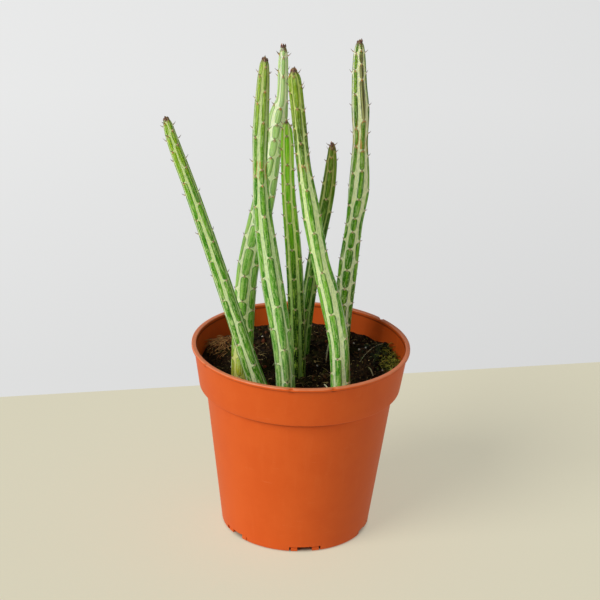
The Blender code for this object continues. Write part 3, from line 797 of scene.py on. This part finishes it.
NICKS = (  # dips in the lip: angle to the right of the front, half width in degrees, depth
    (-4.4, 1.9, 1.1), (17.4, 1.7, 0.9), (-58.0, 2.0, 0.5), (131.0, 1.8, 0.8), (-142.0, 1.5, 0.7),
)


def outer_radius(height):
    """The pot's outer radius in millimetres, by height in millimetres."""
    if height > BAND_FOOT:
        return BAND_RADIUS + (height - BAND_FOOT) * BAND_FLARE
    return BODY_FOOT_RADIUS + height / BAND_FOOT * (BODY_TOP_RADIUS - BODY_FOOT_RADIUS)


def filleted(corners, steps=5):
    """A line through corners of (radius, height, fillet), with an arc in place of each corner."""
    points = []
    for number, (radius, height, fillet) in enumerate(corners):
        corner = np.array((radius, height))
        if not fillet:
            points.append(corner)
            continue
        before = np.array(corners[number - 1][:2]) - corner
        after = np.array(corners[number + 1][:2]) - corner
        start = corner + before / np.linalg.norm(before) * min(fillet, np.linalg.norm(before) * 0.45)
        end = corner + after / np.linalg.norm(after) * min(fillet, np.linalg.norm(after) * 0.45)
        for share in np.linspace(0, 1, steps):
            points.append((1 - share) ** 2 * start + 2 * share * (1 - share) * corner + share**2 * end)
    return np.array(points)


def with_steps(points, longest):
    """The same line with extra points, so that no stretch is longer than longest."""
    result = [points[0]]
    for first, second in zip(points, points[1:]):
        count = max(1, math.ceil(np.linalg.norm(second - first) / longest))
        result += [first + (second - first) * step / count for step in range(1, count + 1)]
    return np.array(result)


def pot_profile():
    """The pot's section from the middle of its floor over the lip to the middle of its underside."""
    corners = (
        (0.0, FLOOR, 0), (outer_radius(FLOOR) - WALL, FLOOR, 1.5),
        (BODY_TOP_RADIUS - WALL, BAND_FOOT + 0.3, 1.5), (outer_radius(STEP_TOP) - WALL, STEP_TOP, 1.5),
        (outer_radius(96.0) - WALL, 96.0, 0.8), (52.1, POT_HEIGHT, 0.4), (LIP_RADIUS, POT_HEIGHT, 0.6),
        (LIP_RADIUS, 95.75, 0.5), (53.1, 95.6, 0.2), (BAND_RADIUS, BAND_FOOT, 0.6),
        (46.3, BAND_FOOT + 0.25, 0.2), (46.85, BAND_FOOT - 0.7, 0.4), (37.4, 0.0, 1.3),
        (RING_RADIUS, 0.0, 0.4), (RING_RADIUS, PLATE_UNDERSIDE, 0.4), (0.0, PLATE_UNDERSIDE, 0),
    )
    return with_steps(filleted(corners), LONGEST_STEP)


def pot_mesh():
    """The pot turned from its profile, with slight unevenness and flash on the lip."""
    profile = pot_profile()
    turn = np.arange(POT_SIDES) * math.tau / POT_SIDES
    radius = np.repeat(profile[1:-1, :1], POT_SIDES, 1)
    height = np.repeat(profile[1:-1, 1:], POT_SIDES, 1)
    lip = smoothstep(94.5, 96.0, height) * smoothstep(51.5, 53.8, radius)
    for angle, half_width, depth in NICKS:
        off = np.abs((np.degrees(turn)[None, :] - angle + 180) % 360 - 180)
        dip = np.clip(1 - off / half_width, 0, 1) * lip
        height = height - depth * dip
        radius = radius - 0.5 * depth * dip
    wave = 0.10 * np.sin(3 * turn + 0.6) + 0.06 * np.sin(7 * turn + 2.0)
    radius = radius + lip * wave[None, :]
    points = np.stack((radius * np.sin(turn), -radius * np.cos(turn), height), -1).reshape(-1, 3)
    ends = np.array(((0.0, 0.0, profile[0, 1]), (0.0, 0.0, profile[-1, 1])))
    faces = tube_faces(len(profile) - 2, POT_SIDES)[:, ::-1].tolist()
    first, last = len(points), len(points) + 1
    low = first - POT_SIDES
    for side in range(POT_SIDES):
        after = (side + 1) % POT_SIDES
        faces.append((first, side, after))
        faces.append((last, low + after, low + side))
    return np.concatenate((points, ends)) * MM + AXIS, faces


def notch_cutters():
    """One mesh with a shallow recess round two lugs, a gap between them and a drain slot for each notch."""
    bm = bmesh.new()
    for notch in range(NOTCHES):
        spin = Matrix.Rotation(math.radians(NOTCH_FIRST_ANGLE + notch * 360 / NOTCHES), 4, "Z")
        for middle, width, inner, outer, bottom, top in NOTCH_BOXES:
            place = Matrix.Translation((middle, -(inner + outer) / 2, (bottom + top) / 2))
            stretch = Matrix.Diagonal((width, outer - inner, top - bottom, 1.0))
            bmesh.ops.create_cube(bm, size=1.0, matrix=spin @ place @ stretch)
    bmesh.ops.scale(bm, vec=(MM, MM, MM), verts=bm.verts)
    bmesh.ops.translate(bm, vec=AXIS, verts=bm.verts)
    mesh = bpy.data.meshes.new("notch_cutters")
    bm.to_mesh(mesh)
    bm.free()
    return mesh


def pot_material():
    """Terracotta-coloured moulded plastic with a satin grain, faint mottling, a painted highlight on the lip
    and painted shade under the lip and the band.
    """
    nodes = Nodes("pot_plastic")
    place = nodes.place()
    x, y, z = nodes.split(place)
    cloud = nodes.noise(place, 60.0, detail=3.0, roughness=0.6)
    grain = nodes.noise(place, 2200.0, detail=2.0)
    runs = nodes.noise(nodes.join(x * 260.0, y * 260.0, z * 22.0), detail=3.0, roughness=0.6)
    colour = nodes.mix(cloud.smooth(0.3, 0.7), srgb(222, 92, 26), srgb(226, 97, 31))
    colour = nodes.mix(runs.smooth(0.5, 0.8) * 0.2, colour, srgb(232, 112, 50))
    scuff = nodes.noise(nodes.join(x * 90.0, y * 90.0, z * 900.0), detail=4.0, roughness=0.7)
    colour = nodes.mix(scuff.smooth(0.62, 0.8) * 0.3, colour, srgb(240, 150, 100))
    height = z / MM + (runs - 0.5) * 0.5
    # Painted highlight: a pale line along the lip's top edge, all round the pot, standing in for the lamp's
    # gleam on the rounded rim.
    edge = height.smooth(POT_HEIGHT - 0.75, POT_HEIGHT - 0.1)
    colour = nodes.mix(edge * 0.65, colour, srgb(255, 158, 112))
    # Painted shade: darker bands under the band's step and under the lip, where their overhangs shade the
    # wall.
    for crease, reach in ((BAND_FOOT - 0.3, 2.4), (LIP_FOOT, 0.9)):
        painted_shade = height.smooth(crease - reach, crease) * height.smooth(crease + 0.5, crease)
        colour = nodes.mix(painted_shade * 0.75, colour, srgb(112, 40, 6))
    nodes.bump(grain * 0.5 + runs * 0.3 + cloud * 0.2, 0.00006)
    nodes.feed(nodes.shader.inputs["Specular IOR Level"], 0.2 + edge * 0.4)
    return nodes.finish(colour, 0.45 + cloud * 0.12 - edge * 0.15)


def make_pot():
    """The pot as one moulded piece in place of its faceted solid."""
    points, faces = pot_mesh()
    pot = object_from("pot_shell", points, faces, pot_material())
    cutters = bpy.data.objects.new("notch_cutters", notch_cutters())
    bpy.context.scene.collection.objects.link(cutters)
    cut = pot.modifiers.new("Notches", "BOOLEAN")
    cut.operation = "DIFFERENCE"
    cut.object = cutters
    cut.use_self = True
    evaluated = pot.evaluated_get(bpy.context.evaluated_depsgraph_get())
    mesh = bpy.data.meshes.new_from_object(evaluated)
    pot.modifiers.clear()
    pot.data = mesh
    bpy.data.objects.remove(cutters)
    mesh.shade_smooth()
    mesh.set_sharp_from_angle(angle=SHARP_ANGLE)
    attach(pot, "root")
    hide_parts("pot")


# Peat


PEAT_RINGS = 110
PEAT_SIDES = 480
PEAT_SLOPE = 0.055
MOUNDS = (  # centre x, centre y, height, radius
    (-39.0, 16.0, 3.5, 11.0),
    (40.0, 14.0, 3.0, 12.0),
)
PEAT_RELIEF = ((4.2, 2.2), (1.7, 1.3), (0.8, 0.5))  # size and depth of lumps
FILL_RADIUS = 49.3  # the pot's inside at the peat's level, less a little
CRUMBS = ((420, 1.3, 3.0, 2), (2600, 0.4, 1.1, 1))  # number, smallest and largest size, subdivisions
FIBRES = 700
COIR_FIBRES = 420
COIR_PLACE = (-40.0, 3.6, 19.5, 5.0)  # middle and spread across, middle and spread along
MOSS_LUMPS = 150
MOSS_LUMP_PLACE = (41.0, 3.5, 13.0, 7.0)
MOSS_SHOOTS = 260
MOSS_SHOOT_PLACE = (45.5, 2.0, 6.0, 6.5)
CRUMB_SEED = 51
FIBRE_SEED = 52
COIR_SEED = 53
MOSS_SEED = 54
BITS_SEED = 55
SKIRT_FOOT = 79.5
PEBBLE_PLACE = (-17.6, -2.1, 0.5)
PEBBLE_SIZES = (1.1, 0.9, 0.75)
THREAD_START = (30.0, 5.5, 0.3)
THREAD_END = (42.0, 18.0, 0.8)
THREAD_BOW = (-0.8, 1.0, 1.2)
THREAD_STEPS = 24
THREAD_WIDTH = 0.14
PERLITE = (  # x, y, size
    (-35.2, 13.0, 1.1), (-34.0, -4.0, 1.3), (-33.6, -9.0, 1.0), (27.0, 26.0, 1.0), (33.0, 19.0, 1.2),
    (29.5, 15.0, 1.1), (-12.0, 8.0, 0.9), (8.5, 2.0, 0.9), (41.0, -3.0, 0.8), (15.0, 30.0, 0.9),
    (-20.0, 30.0, 1.0), (-5.0, 38.0, 1.1), (5.0, -41.0, 0.9), (-24.0, -38.0, 1.0), (34.0, -27.0, 0.9),
)
SLIVERS = (  # place, length, width, heading in degrees, rise
    ((36.6, -8.2), 4.2, 0.55, 120, 2.2),
    ((12.8, 5.3), 5.6, 0.8, 80, 4.0),
    ((14.5, -24.5), 4.5, 0.7, 130, 1.3),
    ((-31.5, -8.5), 3.2, 0.5, 20, 0.5),
    ((-36.0, -12.0), 3.6, 0.4, 60, 0.4),
    ((-14.0, 2.5), 4.5, 0.5, 60, 0.5),
    ((29.0, -33.0), 3.5, 0.45, 200, 0.5),
)


def peat_height(x, y):
    """Height of the peat's top in millimetres: a slope, two mounds, lumps and crumbs."""
    height = PEAT_LEVEL / MM + PEAT_SLOPE * y
    for centre_x, centre_y, mound, radius in MOUNDS:
        height += mound * math.exp(-((x - centre_x) ** 2 + (y - centre_y) ** 2) / radius**2)
    height += 1.3 * noise.noise(Vector((x, y, 0.0)) / 9.0)
    fade = min(1.0, max(0.0, 1 - math.hypot(x, y) / FILL_RADIUS) * 12 + 0.25)
    for size, depth in PEAT_RELIEF:
        height += fade * depth * noise.noise(Vector((x, y, 7.0)) / size)
    return height


def on_peat(x, y, lift=0.0):
    """The point on the peat's top, or above it, for a place in millimetres from the pot's axis."""
    return np.array(AXIS) + np.array((x, y, peat_height(x, y) + lift)) * MM


def make_peat_top():
    """The peat's crumbly top, with a plain skirt down the pot's inside."""
    turn = np.arange(PEAT_SIDES) * math.tau / PEAT_SIDES
    shares = np.linspace(0, 1, PEAT_RINGS + 1)[1:] ** 0.75
    outer = outer_radius(PEAT_LEVEL / MM) - WALL - 0.1
    points = [(0.0, 0.0, peat_height(0.0, 0.0))]
    for share in shares:
        for angle in turn:
            x, y = share * outer * math.sin(angle), -share * outer * math.cos(angle)
            points.append((x, y, peat_height(x, y)))
    radius = outer_radius(SKIRT_FOOT) - WALL - 0.4
    points += [(radius * math.sin(angle), -radius * math.cos(angle), SKIRT_FOOT) for angle in turn]
    foot = len(points) - PEAT_SIDES
    faces = [(0, 1 + side, 1 + (side + 1) % PEAT_SIDES) for side in range(PEAT_SIDES)]
    faces += tube_faces(PEAT_RINGS + 1, PEAT_SIDES, 1)[:, ::-1].tolist()
    faces.append(list(range(foot, foot + PEAT_SIDES))[::-1])
    peat = object_from("peat_top", np.array(points) * MM + AXIS, faces, peat_material())
    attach(peat, "root")
    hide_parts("peat")


def inside_pot(points):
    """The points, with those drawn in that would come through the pot's wall."""
    place = (points - np.array(AXIS)) / MM
    wall = BAND_RADIUS + (place[:, 2] - BAND_FOOT) * BAND_FLARE - WALL - 0.1
    share = np.minimum(1.0, wall / np.hypot(place[:, 0], place[:, 1]))
    place[:, :2] *= share[:, None]
    return place * MM + np.array(AXIS)


def rough_lump(shape, centre, sizes, rng):
    """A ball's vertices roughened, stretched to sizes, turned at random and moved to a centre."""
    turned = np.linalg.qr(rng.normal(size=(3, 3)))[0]
    turned *= np.sign(np.linalg.det(turned))
    rough = shape * rng.uniform(0.72, 1.28, (len(shape), 1))
    return inside_pot((rough * sizes) @ turned.T + centre)


def bent_path(start, direction, length, bend, steps):
    """A path of points that starts in one direction and bends steadily."""
    shares = np.linspace(0, 1, steps)[:, None]
    return start + (direction * shares + bend * shares**2) * length


def random_place(rng, stems):
    """A place on the peat, in millimetres from the pot's axis, that no stem covers."""
    while True:
        radius = FILL_RADIUS * math.sqrt(rng.random())
        angle = rng.uniform(0, math.tau)
        x, y = radius * math.cos(angle), radius * math.sin(angle)
        if all(math.hypot(x - foot_x, y - foot_y) > foot_radius for foot_x, foot_y, foot_radius in stems):
            return x, y


def make_crumbs(feet):
    """Loose crumbs and flakes of peat and bark on the top."""
    rng = np.random.default_rng(CRUMB_SEED)
    heap = Heap()
    for number, smallest, largest, subdivisions in CRUMBS:
        shape, faces = ball(subdivisions)
        for _ in range(number):
            x, y = random_place(rng, feet)
            size = smallest + (largest - smallest) * rng.random() ** 2
            flat = rng.uniform(0.35, 0.95, 2)
            sizes = np.array((1.0, flat[0], flat[0] * flat[1])) * size / 2 * MM
            points = rough_lump(shape, on_peat(x, y, 0.12 * size), sizes, rng)
            heap.add(points, faces, np.zeros(len(points)), rng.random())
    heap.place("peat_crumbs", crumb_material(), "peat")


def add_fibre(heap, rng, place, length, width, heading, rise, curl):
    """A thin bent fibre that starts at a place on the peat."""
    direction = np.array((math.cos(heading), math.sin(heading), rise))
    bend = rng.normal(0, curl, 3)
    bend[2] = -abs(bend[2]) * 0.5 - 0.5 * rise
    path = inside_pot(bent_path(place, direction, length * MM, bend, 7))
    widths = width * MM * np.array((0.5, 0.9, 1.0, 1.0, 0.95, 0.8, 0.35))
    heap.add(*tube(path, widths, 5), rng.random())


def make_fibres(feet):
    """Thin fibres and slivers strewn over the peat."""
    rng = np.random.default_rng(FIBRE_SEED)
    heap = Heap()
    for _ in range(FIBRES):
        x, y = random_place(rng, feet)
        length = rng.uniform(0.8, 3.2)
        inwards = math.atan2(-y, -x) + rng.uniform(-1.4, 1.4)
        width = rng.uniform(0.14, 0.34)
        add_fibre(heap, rng, on_peat(x, y, 0.2), length, width, inwards, rng.uniform(0, 0.7), 0.6)
    heap.place("peat_fibres", fibre_material("peat_fibre", srgb(44, 30, 12), srgb(178, 158, 100)), "peat")


def make_coir():
    """A tuft of tan coir fibres lying on the mound at the left."""
    rng = np.random.default_rng(COIR_SEED)
    heap = Heap()
    for _ in range(COIR_FIBRES):
        x, y = rng.normal(*COIR_PLACE[:2]), rng.normal(*COIR_PLACE[2:])
        if math.hypot(x, y) > FILL_RADIUS - 2.5:
            continue
        heading = rng.normal(-2.2, 0.5)
        lift = rng.uniform(0.0, 1.8)
        length = rng.uniform(2, 6)
        add_fibre(heap, rng, on_peat(x, y, lift), length, rng.uniform(0.14, 0.36), heading, 0.15, 0.4)
    heap.place("coir_tuft", fibre_material("coir", srgb(110, 60, 26), srgb(216, 166, 104)), "peat")


def make_moss():
    """Dark moss lumps against the wall at the right, with a fringe of thin yellow-green shoots."""
    rng = np.random.default_rng(MOSS_SEED)
    lumps = Heap()
    shape, faces = ball(2)
    for _ in range(MOSS_LUMPS):
        x, y = rng.normal(*MOSS_LUMP_PLACE[:2]), rng.normal(*MOSS_LUMP_PLACE[2:])
        if math.hypot(x, y) > FILL_RADIUS - 1.0:
            continue
        size = rng.uniform(0.6, 1.7)
        points = rough_lump(shape, on_peat(x, y, 0.5), np.full(3, size / 2 * MM), rng)
        lumps.add(points, faces, np.zeros(len(points)), rng.random())
    lumps.place("moss_lumps", fibre_material("moss_dark", srgb(20, 26, 12), srgb(58, 70, 26)), "peat")
    shoots = Heap()
    for _ in range(MOSS_SHOOTS):
        x, y = rng.normal(*MOSS_SHOOT_PLACE[:2]), rng.normal(*MOSS_SHOOT_PLACE[2:])
        if math.hypot(x, y) > FILL_RADIUS - 0.6:
            continue
        heading = rng.uniform(-math.pi, math.pi)
        length = rng.uniform(1.5, 4.2)
        add_fibre(shoots, rng, on_peat(x, y, 0.2), length, rng.uniform(0.14, 0.3), heading, 1.1, 0.6)
    shoots.place("moss_shoots", fibre_material("moss_bright", srgb(86, 92, 10), srgb(196, 200, 84)), "peat")


def make_bits():
    """White perlite grains, a reddish pebble and a few pale slivers, sprouts and a thread."""
    rng = np.random.default_rng(BITS_SEED)
    shape, faces = ball(2)
    grains = Heap()
    for x, y, size in PERLITE:
        points = rough_lump(shape, on_peat(x, y, 0.35 * size), np.full(3, size / 2 * MM), rng)
        grains.add(points, faces, np.zeros(len(points)), rng.random())
    grains.place("perlite", fibre_material("perlite", srgb(190, 186, 172), srgb(226, 224, 214)), "peat")
    pebble = Heap()
    points = rough_lump(shape, on_peat(*PEBBLE_PLACE), np.array(PEBBLE_SIZES) * MM, rng)
    pebble.add(points, faces, np.zeros(len(points)), 0.5)
    pebble.place("pebble", fibre_material("pebble", srgb(120, 56, 34), srgb(176, 92, 60)), "peat")
    pale = Heap()
    for (x, y), length, width, heading, rise in SLIVERS:
        add_fibre(pale, rng, on_peat(x, y, -0.3), length, width, math.radians(heading), rise, 0.12)
    start, end = on_peat(*THREAD_START), on_peat(*THREAD_END)
    shares = np.linspace(0, 1, THREAD_STEPS)[:, None]
    arch = start + (end - start) * shares + np.array(THREAD_BOW) * MM * 4 * shares * (1 - shares)
    pale.add(*tube(arch, np.full(THREAD_STEPS, THREAD_WIDTH * MM), 6), 0.7)
    finish = fibre_material("pale_sliver", srgb(170, 164, 120), srgb(214, 214, 176))
    pale.place("pale_slivers", finish, "peat")


def peat_material():
    """Nearly black moist peat with brown and greenish patches."""
    nodes = Nodes("peat_mix", roughness=0.9, Specular_IOR_Level=0.15)
    place = nodes.place()
    patch = nodes.noise(place, 90.0, detail=3.0)
    crumb = nodes.noise(place, 800.0, detail=4.0, roughness=0.7)
    colour = nodes.mix(crumb.smooth(0.4, 0.75), srgb(17, 11, 5), srgb(74, 52, 28))
    colour = nodes.mix(patch.smooth(0.5, 0.62) * 0.5, colour, srgb(48, 50, 14))
    nodes.bump(crumb, 0.0007)
    return nodes.finish(colour)


def crumb_material():
    """Crumbs from nearly black through brown and reddish bark to a few tan ones."""
    nodes = Nodes("peat_crumb", roughness=0.85, Specular_IOR_Level=0.2)
    _, own = nodes.uv("own")
    grain = nodes.noise(nodes.place(), 1400.0, detail=3.0, roughness=0.7)
    colour = nodes.mix(own.smooth(0.3, 0.8), srgb(22, 14, 6), srgb(86, 60, 32))
    colour = nodes.mix(own.smooth(0.8, 0.86), colour, srgb(104, 52, 28))
    colour = nodes.mix(own.smooth(0.87, 0.91), colour, srgb(98, 96, 34))
    colour = nodes.mix(own.smooth(0.93, 0.98), colour, srgb(196, 170, 116))
    colour = nodes.mix(grain.smooth(0.42, 0.7) * 0.7, colour, srgb(16, 10, 4))
    nodes.bump(grain, 0.0004)
    return nodes.finish(colour)


def fibre_material(name, dark, pale):
    """Dry plant matter: each piece has a tone of its own between two colours, mottled and streaked."""
    nodes = Nodes(name, roughness=0.75, Specular_IOR_Level=0.25)
    share, own = nodes.uv("own")
    grain = nodes.noise(nodes.place(), 1700.0, detail=3.0, roughness=0.65)
    tone = own + (grain - 0.5) * 0.9 - (share - 0.5).math("POWER", 2.0) * 0.5
    nodes.bump(grain, 0.0002)
    return nodes.finish(nodes.mix(tone.smooth(0.0, 1.0), dark, pale))


def make_peat():
    """The peat with everything that lies and grows on it."""
    feet = []
    for sizes in STEMS.values():
        stem = Stem(0, **sizes)
        foot = (stem.centre(stem.peat_at) - np.array(AXIS)) / MM
        feet.append((foot[0], foot[1], stem.half_thickness(stem.peat_at) / MM + 0.2))
    make_peat_top()
    make_crumbs(feet)
    make_fibres(feet)
    make_coir()
    make_moss()
    make_bits()


# Camera, light and stage


CAMERA_TILT = math.radians(22.52)
CAMERA_ROLL = math.radians(2.02)
CAMERA_DISTANCE = 919.3 * MM
CAMERA_AIM = Vector((-1.29, 0.0, 120.36)) * MM
CAMERA_LENS = 112.16
SENSOR_WIDTH = 36.0
NEAREST, FARTHEST = 0.01, 20.0
KEY_STRENGTH = 2.15
KEY_SPREAD = math.radians(35)
KEY_COLOUR = (1.0, 0.985, 0.96)
KEY_HEIGHT = math.radians(35)
KEY_TURN = math.radians(50)  # from the front towards the left
WALL_DARKEST = 0.670
WALL_PALEST = 0.820
OVERHEAD_STRENGTH = 0.21
WORLD_COLOUR = (0.995, 1.0, 0.998, 1.0)
WORLD_RAMPS = (  # axis of the view's direction, start and end: up the wall, to the left, over the horizon
    ("Z", -0.42, -0.28), ("X", 0.17, -0.17), ("Z", -0.02, 0.05),
)
EDGE_LEFT = Vector((-173.1, 127.6, 0.0)) * MM  # two places on the table's far edge
EDGE_RIGHT = Vector((185.6, 207.3, 0.0)) * MM
TABLE_SIDE = 2.5
TABLE_DEPTH = 3
# From GLOW_STARTS to GLOW_FULL the table's glow fades out, leaving painted shade under the pot and in a thin
# line round its foot.
GLOW_STARTS = 34.5  # millimetres from the pot's axis, under its foot
GLOW_FULL = 38.6
GLOW_STRENGTH = 0.43
GLOW_COLOUR = (1.0, 0.96, 0.76, 1.0)


def make_camera():
    """The photograph's view: a long lens, 0.92 m away, looking down a little and rolled by two degrees."""
    back = Vector((0.0, -math.cos(CAMERA_TILT), math.sin(CAMERA_TILT)))
    right = Vector((1.0, 0.0, 0.0))
    up = back.cross(right)
    right_rolled = math.cos(CAMERA_ROLL) * right + math.sin(CAMERA_ROLL) * up
    up_rolled = back.cross(right_rolled)
    data = bpy.data.cameras.new("camera")
    data.sensor_width = SENSOR_WIDTH
    data.lens = CAMERA_LENS
    data.clip_start = NEAREST
    data.clip_end = FARTHEST
    camera = bpy.data.objects.new("camera", data)
    turned = Matrix((right_rolled, up_rolled, back)).transposed().to_4x4()
    camera.matrix_world = Matrix.Translation(AXIS + CAMERA_AIM + back * CAMERA_DISTANCE) @ turned
    bpy.context.scene.collection.objects.link(camera)
    bpy.context.scene.camera = camera


def make_key_light():
    """Soft light from the left front, as from a wide window."""
    data = bpy.data.lights.new("key", "SUN")
    data.energy = KEY_STRENGTH
    data.angle = KEY_SPREAD
    data.color = KEY_COLOUR
    level = math.cos(KEY_HEIGHT)
    towards = Vector((-level * math.sin(KEY_TURN), -level * math.cos(KEY_TURN), math.sin(KEY_HEIGHT)))
    lamp = bpy.data.objects.new("key", data)
    lamp.rotation_euler = towards.to_track_quat("Z", "Y").to_euler()
    bpy.context.scene.collection.objects.link(lamp)


def make_world():
    """Dim even light from above. Below the horizon, where the camera looks, it is the pale grey of a wall
    that darkens a little downwards and to the right."""
    world = bpy.data.worlds.new("world")
    world.use_nodes = True
    bpy.context.scene.world = world
    tree = world.node_tree
    link = tree.links.new
    coordinates = tree.nodes.new("ShaderNodeTexCoord")
    split = tree.nodes.new("ShaderNodeSeparateXYZ")
    link(coordinates.outputs["Generated"], split.inputs[0])
    shares = []
    for axis, start, end in WORLD_RAMPS:
        ramp = tree.nodes.new("ShaderNodeMapRange")
        ramp.inputs["From Min"].default_value = start
        ramp.inputs["From Max"].default_value = end
        link(split.outputs[axis], ramp.inputs["Value"])
        shares.append(ramp.outputs["Result"])
    left_and_up = tree.nodes.new("ShaderNodeMath")
    link(shares[0], left_and_up.inputs[0])
    link(shares[1], left_and_up.inputs[1])
    wall = tree.nodes.new("ShaderNodeMapRange")
    wall.inputs["From Max"].default_value = 2.0
    wall.inputs["To Min"].default_value = WALL_DARKEST
    wall.inputs["To Max"].default_value = WALL_PALEST
    link(left_and_up.outputs[0], wall.inputs["Value"])
    mix = tree.nodes.new("ShaderNodeMix")
    link(shares[2], mix.inputs["Factor"])
    link(wall.outputs["Result"], mix.inputs[2])
    mix.inputs[3].default_value = OVERHEAD_STRENGTH
    link(mix.outputs[0], tree.nodes["Background"].inputs["Strength"])
    tree.nodes["Background"].inputs["Color"].default_value = WORLD_COLOUR


def make_table():
    """A plain pale table that ends behind the pot, with a dim even glow that lightens the pot's shadow and
    fades out under its foot as painted shade.
    """
    left = AXIS + EDGE_LEFT
    right = AXIS + EDGE_RIGHT
    edge = (right - left).normalized()
    front = Vector((edge.y, -edge.x, 0.0))
    left, right = left - edge * TABLE_SIDE, right + edge * TABLE_SIDE
    corners = [left, right, right + front * TABLE_DEPTH, left + front * TABLE_DEPTH]
    nodes = Nodes("table", roughness=0.8, Specular_IOR_Level=0.2)
    x, y, _ = nodes.split(nodes.place())
    from_pot = ((x - AXIS.x).math("POWER", 2.0) + (y - AXIS.y).math("POWER", 2.0)).math("SQRT") / MM
    # Painted shade: no glow under the pot, and less just round its foot.
    glow = from_pot.smooth(GLOW_STARTS, GLOW_FULL)
    nodes.shader.inputs["Emission Color"].default_value = GLOW_COLOUR
    nodes.feed(nodes.shader.inputs["Emission Strength"], glow * GLOW_STRENGTH)
    grain = nodes.noise(nodes.place(), 900.0, detail=2.0)
    colour = nodes.mix(grain, (0.40, 0.376, 0.275, 1.0), (0.41, 0.386, 0.285, 1.0))
    nodes.bump(grain, 0.00005)
    table = object_from("table", [tuple(corner) for corner in corners], [(0, 3, 2, 1)], nodes.finish(colour))


bpy.context.scene.view_settings.view_transform = "Standard"
make_camera()
make_world()
make_key_light()
make_table()
make_pot()
make_peat()
spine_finish = spine_material()
bud_finish = bud_material()
for number, stem_name in enumerate(STEMS):
    make_stem(stem_name, FIRST_STEM_SEED + number, spine_finish, bud_finish)
